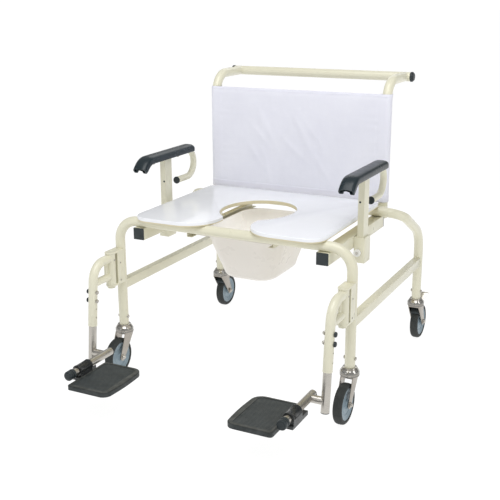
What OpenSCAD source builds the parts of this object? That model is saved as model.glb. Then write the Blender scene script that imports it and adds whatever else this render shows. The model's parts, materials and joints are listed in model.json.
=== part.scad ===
// Wide mobile commode and shower chair. The origin is on the floor, under the middle of the chair.
// Left and right are the sitter's: left is +X. The sitter looks along -Y.

/* [Frame] */
// Distance between the front and rear legs
wheelbase = 680; // [640:5:700]
// Distance between the left and right legs
track = 808; // [790:2:830]
// Outer diameter of the frame tubes
tube_d = 31.8; // [30:0.2:32]
// Wall of the frame tubes
tube_wall = 2; // [1.5:0.5:3]
// Height of the hoops' top tubes, on their axes
hoop_z = 528; // [524:1:540]
// Height of the push bar's axis
push_bar_z = 953; // [945:5:1000]

/* [Seat] */
// Width of the seat plate
seat_w = 644; // [620:2:650]
// Thickness of the seat plate
seat_t = 14; // [10:1:16]
// Half width of the opening in the seat
opening_half_w = 121; // [100:1:125]

/* [Wheels] */
// Diameter of the caster wheels
wheel_d = 125; // [120:1:125]
// Width of a tyre
tyre_w = 28; // [24:1:28]
// Distance from the swivel axis to the axle
trail = 43; // [35:1:45]

/* [Adjustment] */
// How far the arms drop
arm_drop = 158; // [150:1:158]
// How far the footrests can be lengthened
leg_travel = 54; // [40:1:54]

/* [Hidden] */
$fn = 48;
SIDES = ["left", "right"];
CORNERS = ["front_left", "front_right", "rear_left", "rear_right"];

cream = [0.87, 0.85, 0.77];
black = [0.18, 0.22, 0.24];
steel = [0.72, 0.71, 0.68];

fit_gap = 0.05;      // radial clearance of pins and sliding tubes
cope_gap = 0.1;      // between a coped tube and the tube it meets
cut = 1;             // how far a cutting shape runs past a face

leg_x = track / 2;
leg_y = wheelbase / 2;
leg_bottom = 166;
tube_r = tube_d / 2;

// Bent frame tubes
front_corner_r = 68;
rear_corner_r = 60;
rear_kink_r = 100;
rear_kink_z = 411;
rear_top_y = leg_y - 218;

// Straight frame members
rail_x = 317;
rail_w = 38;
rail_top = hoop_z - tube_r - cope_gap;
rail_front = -leg_y - 18;
rail_rear = leg_y - 203;
brace_w = 25;
brace_h = 30;
brace_z = 306;
plug_t = 4;

// Channels that carry the pan
pan_rail_x = 151;
pan_rail_w = 18;
pan_rail_z = [hoop_z - 30, hoop_z - 8];
pan_rail_wall = 2;

// Back
post_x = 319;
post_y = leg_y - 165;
post_bottom = 496;
post_bend_r = 64;
push_bar_y = leg_y + 22;
push_bar_half = 340;
sling_z = [552, 912];
sleeve_r = 19.5;
sling_t = 3;

// Seat plate
seat_y = [-leg_y - 55, leg_y - 200];
seat_front_r = 55;
seat_rear_r = 30;
opening_y = -130;
opening_front = 150;
opening_rear = 135;
neck_half_w = 60;
neck_blend_r = 25;
flare_r = 108;

// Pan
pan_y = -117.5;
pan_flange = [147, 197.5];
pan_flange_z = [hoop_z - 27.8, hoop_z - 17.5];
pan_top = [130, 180];
pan_base = [90, 113];
pan_base_z = 346;
pan_wall = 3;
pan_corner_r = 75;
pan_base_r = 60;

// Arms
arm_x = 355;
arm_post = [20, 41];
arm_post_y = -125;
arm_post_front = arm_post_y - arm_post.y / 2;
arm_post_z = [436, 691];
arm_tube_d = 22;
arm_tube_z = 702;
arm_loop_z = 608;
arm_loop_r = 46.9;
arm_front_y = -235;
arm_rear_y = 60;
arm_end_y = -56;
latch_z = 462;
latch_x = 351;
latch_pin_r = 3;
pad_w = 50;

// Footrests
pivot_x = leg_x - 2;
pivot_y = -leg_y - 64;
peg_r = 12.7;
hanger_d = 28.6;
hanger_bend_r = 57;
hanger_z = 413;
lean = 5.92;
lean_y0 = pivot_y - 90.8;
leg_bore_r = 12.75;
bolt_zs = [328, 300];
spare_zs = [for (z = bolt_zs) z - leg_travel];
stub_z = 131;
leg_tube_z = [99, 345];
foot_x = pivot_x - 50;
foot_z = 133;
foot_tube_r = 12.5;
foot_front = pivot_y - 338;

// Casters
wheel_r = wheel_d / 2;
hub_r = 49;
bell_r = 29.5;
bell_z = [140, 165.6];
stem_pin_r = 6;
fork_half_gap = 17.5;
fork_t = 2.5;
axle_r = 4;
pedal_hinge = [36, 141];
pedal_pin_r = 3;

// The origin is midway between the footplates' front and the rear wheels' back
y_shift = -(foot_front + leg_y + trail + wheel_r) / 2;

module place() {
    translate([0, y_shift, 0]) children();
}

// Mirrors what is made for the left side when the side is the right one
module to_side(side) {
    if (side == "left") children();
    else mirror([1, 0, 0]) children();
}

// ---- Tubes ----

function unit(v) = v / norm(v);
function ring_angle(u, v) = acos(unit(u) * unit(v));

// Round bar from a to b
module straight(a, b, d) {
    u = unit(b - a);
    translate(a) rotate([0, acos(u.z), atan2(u.y, u.x)]) cylinder(d = d, h = norm(b - a));
}

// Bend of radius r that turns from direction u to direction v round the corner point p
module bend(p, u, v, r, d) {
    turn = ring_angle(u, v);
    n = cross(u, v) / sin(turn);
    inward = cross(n, u);
    c = p - r * tan(turn / 2) * u + r * inward;
    multmatrix([
        [-inward.x, u.x, n.x, c.x],
        [-inward.y, u.y, n.y, c.y],
        [-inward.z, u.z, n.z, c.z],
        [0, 0, 0, 1]
    ]) rotate_extrude(angle = turn) translate([r, 0]) circle(d = d);
}

// Bar along straight lines between the points, with its corners rounded by the radii. The straights
// lap the bends' ends, and the bends are a hair thinner, so that one solid comes of it.
module bar_run(points, radii, d) {
    lap = 0.5;
    hair = 0.02;
    last = len(points) - 1;
    dirs = [for (i = [0:last - 1]) unit(points[i + 1] - points[i])];
    setback = [for (i = [0:last])
        i == 0 || i == last ? 0 : radii[i - 1] * tan(ring_angle(dirs[i - 1], dirs[i]) / 2) - lap];
    for (i = [0:last - 1])
        straight(points[i] + setback[i] * dirs[i], points[i + 1] - setback[i + 1] * dirs[i], d);
    for (i = [1:last - 1])
        bend(points[i], dirs[i - 1], dirs[i], radii[i - 1], d - hair);
}

module tube_run(points, radii, d, bore) {
    difference() {
        bar_run(points, radii, d);
        bar_run(points, radii, bore);
    }
}

// What the upright tube of a leg would fill, for coping against it
module leg_envelope(y, z0, z1) {
    translate([leg_x, y, z0]) cylinder(r = tube_r + cope_gap, h = z1 - z0);
}

module hoop_bar_envelope(y) {
    translate([-leg_x, y, hoop_z]) rotate([0, 90, 0]) cylinder(r = tube_r + cope_gap, h = track);
}

// ---- Frame ----

stem_bolt_z = 193;
stem_bolt_r = 3;

module stem_bolt_holes() {
    for (x = [-leg_x, leg_x])
        translate([x - tube_d, 0, stem_bolt_z]) rotate([0, 90, 0])
            cylinder(r = stem_bolt_r + fit_gap, h = 2 * tube_d);
}

module front_hoop() {
    color(cream) place() difference() {
        tube_run([
            [-leg_x, -leg_y, leg_bottom],
            [-leg_x, -leg_y, hoop_z],
            [leg_x, -leg_y, hoop_z],
            [leg_x, -leg_y, leg_bottom]
        ], [front_corner_r, front_corner_r], tube_d, tube_d - 2 * tube_wall);
        translate([0, -leg_y, 0]) stem_bolt_holes();
    }
}

module rear_hoop() {
    color(cream) place() difference() {
        tube_run([
            [leg_x, leg_y, leg_bottom],
            [leg_x, leg_y, rear_kink_z],
            [leg_x, rear_top_y, hoop_z],
            [-leg_x, rear_top_y, hoop_z],
            [-leg_x, leg_y, rear_kink_z],
            [-leg_x, leg_y, leg_bottom]
        ], [rear_kink_r, rear_corner_r, rear_corner_r, rear_kink_r], tube_d, tube_d - 2 * tube_wall);
        translate([0, leg_y, 0]) stem_bolt_holes();
    }
}

module side_rail(side) {
    inner = rail_w - 2 * tube_wall;
    color(cream) place() to_side(side)
        translate([rail_x, rail_front, rail_top - rail_w / 2]) difference() {
            translate([-rail_w / 2, 0, -rail_w / 2]) cube([rail_w, rail_rear - rail_front, rail_w]);
            translate([-inner / 2, -cut, -inner / 2])
                cube([inner, rail_rear - rail_front + 2 * cut, inner]);
        }
}

module side_brace(side) {
    inner_w = brace_w - 2 * tube_wall;
    inner_h = brace_h - 2 * tube_wall;
    color(cream) place() to_side(side) difference() {
        translate([leg_x - brace_w / 2, -leg_y, brace_z - brace_h / 2]) cube([brace_w, wheelbase, brace_h]);
        translate([leg_x - inner_w / 2, -leg_y, brace_z - inner_h / 2]) cube([inner_w, wheelbase, inner_h]);
        for (y = [-leg_y, leg_y]) leg_envelope(y, brace_z - brace_h, brace_z + brace_h);
    }
}

// Channel that opens towards the pan
module pan_rail(side) {
    height = pan_rail_z[1] - pan_rail_z[0];
    color(cream) place() to_side(side) difference() {
        translate([pan_rail_x - pan_rail_w, -leg_y + 2, pan_rail_z[0]])
            cube([pan_rail_w, leg_y + rear_top_y - 4, height]);
        translate([pan_rail_x - pan_rail_w - cut, -leg_y - cut, pan_rail_z[0] + pan_rail_wall])
            cube([pan_rail_w - pan_rail_wall + cut, wheelbase, height - 2 * pan_rail_wall]);
        for (y = [-leg_y, rear_top_y]) hoop_bar_envelope(y);
    }
}

module back_post_bar(d) {
    bar_run([
        [post_x, post_y, post_bottom],
        [post_x, post_y, push_bar_z],
        [post_x, push_bar_y, push_bar_z]
    ], [post_bend_r], d);
}

module back_post(side) {
    color(cream) place() to_side(side) difference() {
        back_post_bar(tube_d);
        back_post_bar(tube_d - 2 * tube_wall);
        translate([0, push_bar_y, push_bar_z]) rotate([0, 90, 0])
            cylinder(r = tube_r + cope_gap, h = push_bar_half);
    }
}

// Blocks that tie the posts to the rear hoop
module post_saddles() {
    saddle_w = 34;
    saddle_z = [500, 540];
    color(cream) place() for (side = SIDES) to_side(side) difference() {
        translate([post_x - saddle_w / 2, rear_top_y + 4, saddle_z[0]])
            cube([saddle_w, post_y - rear_top_y - 4, saddle_z[1] - saddle_z[0]]);
        hoop_bar_envelope(rear_top_y);
        translate([post_x, post_y, saddle_z[0] - cut])
            cylinder(r = tube_r + cope_gap, h = saddle_z[1] - saddle_z[0] + 2 * cut);
        translate([0, rail_front, rail_top - rail_w])
            cube([leg_x, rail_rear + plug_t - rail_front + cope_gap, rail_w]);
    }
}

module push_bar() {
    color(cream) place() translate([-push_bar_half, push_bar_y, push_bar_z]) rotate([0, 90, 0]) difference() {
        cylinder(d = tube_d, h = 2 * push_bar_half);
        translate([0, 0, -cut]) cylinder(d = tube_d - 2 * tube_wall, h = 2 * push_bar_half + 2 * cut);
    }
}

// Plugs in the ends of the side rails and of the push bar
module end_caps() {
    rail_plug = rail_w - 2 * tube_wall - 1;
    bar_cap_t = 12;
    plug_depth = 12;
    color(black) place() for (side = SIDES) to_side(side) {
        for (y = [rail_front - plug_t, rail_rear])
            translate([rail_x - rail_w / 2, y, rail_top - rail_w]) cube([rail_w, plug_t, rail_w]);
        for (y = [rail_front, rail_rear - plug_depth])
            translate([rail_x - rail_plug / 2, y, rail_top - rail_w / 2 - rail_plug / 2])
                cube([rail_plug, plug_depth, rail_plug]);
        translate([push_bar_half, push_bar_y, push_bar_z]) rotate([0, 90, 0]) union() {
            cylinder(r = tube_r + 1, h = bar_cap_t - 4);
            cylinder(r = tube_r - 3, h = bar_cap_t);
            translate([0, 0, -plug_depth]) cylinder(d = tube_d - 2 * tube_wall - 1, h = plug_depth + cut);
        }
    }
}

// Stems fixed in the legs; each one's pin carries a caster
module caster_stems() {
    stem_h = 45;
    pin_down = 22;
    color(steel) place() for (x = [-leg_x, leg_x], y = [-leg_y, leg_y]) translate([x, y, leg_bottom]) {
        difference() {
            cylinder(d = tube_d - 2 * tube_wall - 0.2, h = stem_h);
            translate([-tube_d, 0, stem_bolt_z - leg_bottom]) rotate([0, 90, 0])
                cylinder(r = stem_bolt_r + fit_gap, h = 2 * tube_d);
        }
        translate([0, 0, -pin_down]) cylinder(r = stem_pin_r, h = pin_down + cut);
    }
}

// Bolts that hold the stems in the legs
module frame_bolts() {
    head_r = 5.5;
    head_t = 4.5;
    color(steel) place() for (x = [-leg_x, leg_x], y = [-leg_y, leg_y])
        translate([x, y, stem_bolt_z]) rotate([0, 90, 0]) {
            translate([0, 0, -tube_r - 2]) cylinder(r = stem_bolt_r, h = tube_d + 4);
            for (flip = [0, 1]) mirror([0, 0, flip])
                translate([0, 0, tube_r + 0.2]) cylinder(r = head_r, h = head_t, $fn = 6);
        }
}

// Backrest fabric, with a sleeve round each post
module back_sling() {
    color([0.87, 0.87, 0.91]) place() difference() {
        translate([0, 0, sling_z[0]]) linear_extrude(sling_z[1] - sling_z[0]) union() {
            translate([-post_x, post_y - sleeve_r]) square([2 * post_x, sling_t]);
            for (x = [-post_x, post_x]) translate([x, post_y]) circle(r = sleeve_r);
        }
        for (side = SIDES) to_side(side) back_post_bar(tube_d + 0.6);
    }
}

// ---- Seat and pan ----

module seat_outline() {
    front_w = seat_w / 2 - seat_front_r;
    rear_w = seat_w / 2 - seat_rear_r;
    neck_y = seat_y[0] + flare_r;
    offset(r = neck_blend_r) offset(r = -neck_blend_r) difference() {
        hull() {
            for (x = [-front_w, front_w]) translate([x, seat_y[0] + seat_front_r]) circle(r = seat_front_r);
            for (x = [-rear_w, rear_w]) translate([x, seat_y[1] - seat_rear_r]) circle(r = seat_rear_r);
        }
        translate([0, opening_y]) intersection() {
            scale([opening_half_w, opening_rear]) circle(r = 1, $fn = 96);
            translate([-seat_w / 2, 0]) square([seat_w, seat_w]);
        }
        translate([0, opening_y]) intersection() {
            scale([opening_half_w, opening_front]) circle(r = 1, $fn = 96);
            translate([-seat_w / 2, -seat_w]) square([seat_w, seat_w + 0.1]);
        }
        translate([-neck_half_w, seat_y[0] - cut]) square([2 * neck_half_w, opening_y - seat_y[0]]);
        difference() {
            translate([-neck_half_w - flare_r, seat_y[0] - cut])
                square([2 * (neck_half_w + flare_r), flare_r + cut]);
            for (x = [-1, 1]) translate([x * (neck_half_w + flare_r), neck_y]) circle(r = flare_r, $fn = 96);
        }
    }
}

module seat_plate() {
    color([0.93, 0.94, 0.96]) place() translate([0, 0, hoop_z + tube_r + cope_gap])
        linear_extrude(seat_t) seat_outline();
}

module rounded_slab(half, r, z, t) {
    translate([0, 0, z]) linear_extrude(t) hull()
        for (x = [-1, 1], y = [-1, 1])
            translate([x * (half.x - r), y * (half.y - r)]) circle(r = r, $fn = 32);
}

module commode_pan() {
    flange_t = 3;
    lip_t = 2;
    flange_r = 30;
    lip_h = pan_flange_z[1] - pan_flange_z[0];
    color([0.86, 0.84, 0.80]) place() translate([0, pan_y, 0]) difference() {
        union() {
            hull() {
                rounded_slab(pan_top, pan_corner_r, pan_flange_z[1] - 1, 1);
                rounded_slab(pan_base, pan_base_r, pan_base_z, 1);
            }
            rounded_slab(pan_flange, flange_r, pan_flange_z[0], flange_t);
            rounded_slab(pan_top + [lip_t, lip_t], pan_corner_r, pan_flange_z[0], lip_h);
        }
        hull() {
            rounded_slab(pan_top - [pan_wall, pan_wall], pan_corner_r - pan_wall, pan_flange_z[1], cut);
            rounded_slab(pan_base - [pan_wall, pan_wall], pan_base_r - pan_wall, pan_base_z + pan_wall, 1);
        }
    }
}

// ---- Arms ----

module arm_socket(side) {
    x = [rail_x + rail_w / 2 + 0.1, 372];
    y = [-150, -100];
    z = [428, 509];
    slot = arm_post + [0.6, 0.6];
    color(cream) place() to_side(side) difference() {
        translate([x[0], y[0], z[0]]) cube([x[1] - x[0], y[1] - y[0], z[1] - z[0]]);
        translate([arm_x - slot.x / 2, arm_post_y - slot.y / 2, z[0] - cut])
            cube([slot.x, slot.y, z[1] - z[0] + 2 * cut]);
        translate([latch_x, y[0] - cut, latch_z]) rotate([-90, 0, 0])
            cylinder(r = latch_pin_r + fit_gap, h = (y[1] - y[0]) / 2);
    }
}

module arm_bar(d) {
    bar_run([
        [arm_x, arm_front_y, arm_tube_z],
        [arm_x, arm_rear_y, arm_tube_z],
        [arm_x, arm_rear_y, arm_loop_z],
        [arm_x, arm_end_y, arm_loop_z]
    ], [arm_loop_r, arm_loop_r], d);
}

// Flat post with a bent tube across its top
module arm_frame(side) {
    hole_r = 3.5;
    wall = 2;
    color(cream) place() to_side(side) {
        difference() {
            arm_bar(arm_tube_d);
            arm_bar(arm_tube_d - 3);
        }
        difference() {
            translate([arm_x - arm_post.x / 2, arm_post_front, arm_post_z[0]])
                cube([arm_post.x, arm_post.y, arm_tube_z - arm_post_z[0]]);
            translate([arm_x - arm_post.x / 2 + wall, arm_post_front + wall, arm_post_z[0] - cut])
                cube([arm_post.x - 2 * wall, arm_post.y - 2 * wall, arm_post_z[1] - arm_post_z[0] - 3]);
            translate([arm_x, arm_front_y, arm_tube_z]) rotate([-90, 0, 0])
                cylinder(d = arm_tube_d, h = 200);
            for (z = [latch_z, latch_z + arm_drop])
                translate([latch_x, arm_post_y - arm_post.y, z]) rotate([-90, 0, 0])
                    cylinder(r = hole_r, h = arm_post.y);
        }
    }
}

// Moulded armrest with a down-turned nose
module arm_pad(side) {
    top = 722;
    bottom = 697;
    color(black) place() to_side(side) difference() {
        translate([arm_x + 1 - pad_w / 2, 0, 0]) rotate([90, 0, 90]) linear_extrude(pad_w) polygon([
            [34, 702], [34, 716], [27, top], [-240, top], [-262, 712], [-286, 692], [-292, 680],
            [-288, 672], [-272, 672], [-256, 686], [-244, bottom], [30, bottom]
        ]);
        arm_bar(arm_tube_d + 2 * fit_gap);
        translate([arm_x - arm_post.x / 2 - fit_gap, arm_post_front - fit_gap, bottom - cut])
            cube([arm_post.x + 2 * fit_gap, arm_post.y + 2 * fit_gap, arm_tube_z - bottom]);
    }
}

module arm_cap(side) {
    color(black) place() to_side(side) translate([arm_x, arm_end_y, arm_loop_z]) rotate([90, 0, 0]) {
        cylinder(r = 12.5, h = 6);
        translate([0, 0, -12]) cylinder(r = 9, h = 12 + cut);
    }
}

// Pull knob with the pin that locks the arm
module arm_latch(side) {
    front = -150.2;
    pin_end = -146.4;
    knob_t = 13;
    color([0.92, 0.92, 0.9]) place() to_side(side) translate([latch_x, front, latch_z]) rotate([90, 0, 0]) {
        cylinder(r = 11.5, h = knob_t);
        translate([0, 0, front - pin_end]) cylinder(r = latch_pin_r, h = pin_end - front + cut);
        translate([0, 0, knob_t - cut]) cylinder(r = 4, h = 2 + cut);
    }
}

// ---- Footrests ----

// Point on the leaning tube's axis at height z
function lean_point(z) = [pivot_x, lean_y0 - (hanger_z - z) * tan(lean), z];

module hanger_bar(y_start, z_end, d) {
    bar_run([[pivot_x, y_start, hanger_z], lean_point(hanger_z), lean_point(z_end)], [hanger_bend_r], d);
}

// Cuts a hole across the leaning tube, along X
module cross_hole(z, r) {
    p = lean_point(z);
    translate([pivot_x - tube_d, p.y, z]) rotate([0, 90, 0]) cylinder(r = r, h = 2 * tube_d);
}

bracket_half_w = 17;
bracket_z = [320, 433];
lug_t = 5;
bracket_hole_zs = [391, 332];
sleeve_bolt_z = 408;

// Channel on the front leg with two lugs that the footrest's peg turns in
module footrest_bracket(side) {
    wall = 3;
    cheek_front = pivot_y + 17;
    web_y = -leg_y - tube_r - wall;
    lug_zs = [bracket_z[0], bracket_z[1] - lug_t];
    color(cream) place() to_side(side) difference() {
        union() {
            difference() {
                translate([pivot_x - bracket_half_w, cheek_front, bracket_z[0]])
                    cube([2 * bracket_half_w, -leg_y - 10 - cheek_front, bracket_z[1] - bracket_z[0]]);
                translate([pivot_x - bracket_half_w + wall, cheek_front - cut, bracket_z[0] - cut])
                    cube([2 * (bracket_half_w - wall), web_y - cheek_front + cut, 200]);
            }
            for (z = lug_zs) translate([pivot_x, pivot_y, z]) {
                cylinder(r = bracket_half_w, h = lug_t);
                translate([-bracket_half_w, 0, 0]) cube([2 * bracket_half_w, web_y - pivot_y + 1, lug_t]);
            }
        }
        leg_envelope(-leg_y, bracket_z[0] - cut, bracket_z[1] + cut);
        translate([pivot_x, pivot_y, bracket_z[0] - cut])
            cylinder(r = peg_r + fit_gap, h = bracket_z[1] - bracket_z[0] + 2 * cut);
        for (z = bracket_hole_zs)
            translate([pivot_x, -leg_y - 32, z]) rotate([0, 90, 0])
                cylinder(r = 3, h = 2 * bracket_half_w + 2, center = true);
    }
}

// Swing-away tube with its sleeve and pivot peg
module hanger(side) {
    sleeve_out_r = 16.5;
    sleeve_z = [bracket_z[0] + lug_t + 0.5, bracket_z[1] - lug_t - 0.5];
    brace_tube_z = 353;
    gusset_t = 6;
    peg_down = 7;
    end_z = 218;
    color(cream) place() to_side(side) difference() {
        union() {
            hanger_bar(pivot_y, end_z, hanger_d);
            translate([pivot_x, pivot_y, sleeve_z[0]])
                cylinder(r = sleeve_out_r, h = sleeve_z[1] - sleeve_z[0]);
            translate([pivot_x, pivot_y, bracket_z[0] - peg_down])
                cylinder(r = peg_r, h = bracket_z[1] - bracket_z[0] + peg_down);
            straight([pivot_x, pivot_y, brace_tube_z], lean_point(brace_tube_z), 24);
            translate([pivot_x - gusset_t / 2, pivot_y - 31, brace_tube_z])
                cube([gusset_t, 31, hanger_z - brace_tube_z]);
        }
        hanger_bar(pivot_y - 20, end_z - 5, 2 * leg_bore_r);
        for (z = concat(bolt_zs, spare_zs)) cross_hole(z, 3 + fit_gap);
        translate([pivot_x - tube_d, pivot_y, sleeve_bolt_z]) rotate([0, 90, 0])
            cylinder(r = 3, h = 2 * tube_d);
    }
}

// Two clamp bolts with round caps and nuts, and the sleeve's bolt
module hanger_bolts(side) {
    cap_r = 8;
    color(black) place() to_side(side) {
        for (z = bolt_zs) translate(lean_point(z)) rotate([0, 90, 0]) {
            translate([0, 0, -18]) cylinder(r = 3, h = 36);
            translate([0, 0, 14.6]) cylinder(r = cap_r, h = 7);
            translate([0, 0, -20]) cylinder(r = 6, h = 5.4, $fn = 6);
        }
        translate([pivot_x, pivot_y, sleeve_bolt_z]) rotate([0, 90, 0])
            cylinder(r = 2.9, h = 36, center = true);
    }
}

// Telescopic tube with the stub and the tube that carries the footplate
module leg_tube(side) {
    stub = lean_point(stub_z);
    bore = 2 * peg_r - 3;
    slot_z = bolt_zs[1] - 6;
    slot_w = 7;
    foot_tube_l = 218;
    foot_tube_back = foot_front + 245;
    color(steel) place() to_side(side) difference() {
        union() {
            straight(lean_point(leg_tube_z[1]), lean_point(leg_tube_z[0]), 2 * peg_r);
            straight(stub, [foot_x, stub.y, stub_z], 24);
            translate([foot_x, foot_tube_back, foot_z]) rotate([90, 0, 0])
                cylinder(r = foot_tube_r, h = foot_tube_l);
        }
        straight(lean_point(leg_tube_z[1] + cut), lean_point(leg_tube_z[0] - cut), bore);
        translate([foot_x, foot_tube_back + cut, foot_z]) rotate([90, 0, 0])
            cylinder(r = foot_tube_r - 1.5, h = foot_tube_l + 2 * cut);
        translate([pivot_x - tube_d, lean_point(slot_z).y, slot_z]) rotate([-lean, 0, 0])
            translate([0, -slot_w / 2, 0]) cube([2 * tube_d, slot_w, leg_tube_z[1]]);
    }
}

// Plug of the leg tube and cap of the footplate's tube
module leg_caps(side) {
    color(black) place() to_side(side) {
        translate(lean_point(leg_tube_z[0])) rotate([180 - lean, 0, 0]) {
            cylinder(r = peg_r, h = 3);
            translate([0, 0, -10]) cylinder(r = peg_r - 1.7, h = 10 + cut);
        }
        translate([foot_x, foot_front + 52, foot_z]) rotate([90, 0, 0]) difference() {
            cylinder(r = 15, h = 28);
            translate([0, 0, -cut]) cylinder(r = foot_tube_r, h = 26);
        }
    }
}

// Plate that folds up about the leg tube's lower end
module footplate(side) {
    plate_x = [foot_x - 158, foot_x - 15];
    plate_y = [foot_front, foot_front + 197];
    plate_z = [105, 119];
    corner_r = 16;
    barrel_y = [foot_front + 72, foot_front + 130];
    barrel_r = 17.5;
    block_x = [foot_x - 17, foot_x + barrel_r];
    heel_l = 39;
    heel_w = 16;
    color(black) place() to_side(side) difference() {
        union() {
            translate([0, 0, plate_z[0]]) linear_extrude(plate_z[1] - plate_z[0]) hull()
                for (x = [plate_x[0] + corner_r, plate_x[1] - corner_r],
                     y = [plate_y[0] + corner_r, plate_y[1] - corner_r])
                    translate([x, y]) circle(r = corner_r, $fn = 32);
            translate([foot_x, barrel_y[1], foot_z]) rotate([90, 0, 0])
                cylinder(r = barrel_r, h = barrel_y[1] - barrel_y[0]);
            translate([block_x[0], barrel_y[0], plate_z[0]])
                cube([block_x[1] - block_x[0], barrel_y[1] - barrel_y[0], foot_z - plate_z[0]]);
            translate([block_x[1] - heel_w, barrel_y[1] - cut, plate_z[0]])
                cube([heel_w, heel_l + cut, plate_z[1] - plate_z[0]]);
        }
        translate([foot_x, barrel_y[1] + cut, foot_z]) rotate([90, 0, 0])
            cylinder(r = foot_tube_r + fit_gap, h = barrel_y[1] - barrel_y[0] + 2 * cut);
    }
}

// ---- Casters ----

// Puts a caster made at the left rear in its corner: the front ones trail forward
module to_corner(corner) {
    x = corner == "front_left" || corner == "rear_left" ? 0 : 1;
    y = corner == "rear_left" || corner == "rear_right" ? 0 : 1;
    mirror([x, 0, 0]) mirror([0, y, 0]) translate([leg_x, leg_y, 0]) children();
}

module fork_plate_outline() {
    top_half = 25;
    boss_r = 13;
    hull() {
        translate([-top_half, bell_z[0] - 4]) square([2 * top_half, 3]);
        translate([trail, wheel_r]) circle(r = boss_r, $fn = 32);
    }
}

// Ear of a rear fork's plate, which the brake pedal's pin turns in
module pedal_ear_outline() {
    hull() {
        translate(pedal_hinge) circle(r = 6, $fn = 32);
        translate([0, bell_z[0] - 4]) square([20, 3]);
        translate([pedal_hinge.x - 10, bell_z[0] - 34]) square([10, 10]);
    }
}

module fork(corner) {
    crown_t = 4;
    is_rear = corner == "rear_left" || corner == "rear_right";
    color(steel) place() to_corner(corner) difference() {
        union() {
            for (x = [-fork_half_gap - fork_t, fork_half_gap])
                translate([x, 0, 0]) rotate([90, 0, 90]) linear_extrude(fork_t) union() {
                    fork_plate_outline();
                    if (is_rear) pedal_ear_outline();
                }
            translate([-fork_half_gap - fork_t, -25, bell_z[0] - crown_t])
                cube([2 * (fork_half_gap + fork_t), 50, crown_t]);
            translate([0, 0, bell_z[0] - 1]) cylinder(r = bell_r, h = 13);
            translate([0, 0, bell_z[0] + 12]) cylinder(r1 = bell_r, r2 = 21, h = bell_z[1] - bell_z[0] - 12);
        }
        translate([0, 0, bell_z[0] - crown_t - cut]) cylinder(r = stem_pin_r + fit_gap, h = 60);
        translate([-tube_d, trail, wheel_r]) rotate([0, 90, 0]) cylinder(r = axle_r + 0.1, h = 2 * tube_d);
        if (is_rear)
            translate([-tube_d, pedal_hinge.x, pedal_hinge.y]) rotate([0, 90, 0])
                cylinder(r = pedal_pin_r + fit_gap, h = 2 * tube_d);
    }
}

module axle(corner) {
    nut_r = [9, 5];
    nut_t = 8;
    color(steel) place() to_corner(corner) translate([0, trail, wheel_r]) rotate([0, 90, 0])
        for (flip = [0, 1]) mirror([0, 0, flip]) {
            cylinder(r = axle_r, h = fork_half_gap + fork_t + 2);
            translate([0, 0, fork_half_gap + fork_t + 0.1])
                cylinder(r1 = nut_r[0], r2 = nut_r[1], h = nut_t);
        }
}

module hub(corner) {
    web = 6;
    boss_r = 14;
    rim_t = 5;
    color([0.6, 0.66, 0.69]) place() to_corner(corner) translate([0, trail, wheel_r]) rotate([0, 90, 0])
        rotate_extrude() polygon([
            [axle_r + fit_gap, -15], [boss_r, -15], [boss_r, -web], [hub_r - rim_t, -web],
            [hub_r - rim_t, -12], [hub_r, -12], [hub_r, 12], [hub_r - rim_t, 12],
            [hub_r - rim_t, web], [boss_r, web], [boss_r, 15], [axle_r + fit_gap, 15]
        ]);
}

module tyre(corner) {
    shoulder = 6;
    color([0.24, 0.27, 0.28]) place() to_corner(corner) translate([0, trail, wheel_r]) rotate([0, 90, 0])
        rotate_extrude() union() {
            translate([hub_r, -tyre_w / 2 + shoulder]) square([wheel_r - hub_r, tyre_w - 2 * shoulder]);
            translate([hub_r, -tyre_w / 2]) square([wheel_r - hub_r - shoulder, tyre_w]);
            for (x = [-1, 1])
                translate([wheel_r - shoulder, x * (tyre_w / 2 - shoulder)]) circle(r = shoulder);
        }
}

// Cover between the fork plates, over the front of a rear wheel
module brake_guard(side) {
    guard_r = [wheel_r + 4, wheel_r + 10];
    half_w = fork_half_gap - 0.2;
    cheek_t = 2;
    cheek_r = 40;
    start = 92;
    sweep = 78;
    color(black) place() to_corner(str("rear_", side)) translate([0, trail, wheel_r])
        rotate([90, 0, 90]) rotate([0, 0, start]) rotate_extrude(angle = sweep) union() {
            translate([guard_r[0], -half_w]) square([guard_r[1] - guard_r[0], 2 * half_w]);
            for (x = [-half_w, half_w - cheek_t])
                translate([cheek_r, x]) square([guard_r[1] - cheek_r, cheek_t]);
        }
}

// Foot lever that rises behind a rear caster's head, on a pin in the fork's ears
module brake_pedal(side) {
    barrel_r = 4.5;
    barrel_half_w = fork_half_gap - 1;
    rise = 46;
    reach = 38;
    tip_half_w = 28;
    neck_half_w = 14;
    widen_at = 9;
    sheet_t = 2.5;
    color(steel) place() to_corner(str("rear_", side))
        translate([0, pedal_hinge.x, pedal_hinge.y]) rotate([rise, 0, 0]) {
            translate([0, 0, -sheet_t / 2]) linear_extrude(sheet_t) polygon([
                [-neck_half_w, 0], [neck_half_w, 0], [neck_half_w, widen_at], [tip_half_w, reach - 8],
                [tip_half_w, reach], [-tip_half_w, reach], [-tip_half_w, reach - 8], [-neck_half_w, widen_at]
            ]);
            rotate([0, 90, 0]) cylinder(r = barrel_r, h = 2 * barrel_half_w, center = true);
            rotate([0, 90, 0])
                cylinder(r = pedal_pin_r, h = 2 * (fork_half_gap + fork_t + 0.5), center = true);
            translate([0, reach, 0]) rotate([0, 90, 0])
                cylinder(r = sheet_t, h = 2 * tip_half_w, center = true);
        }
}

// ---- Nodes ----

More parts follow.
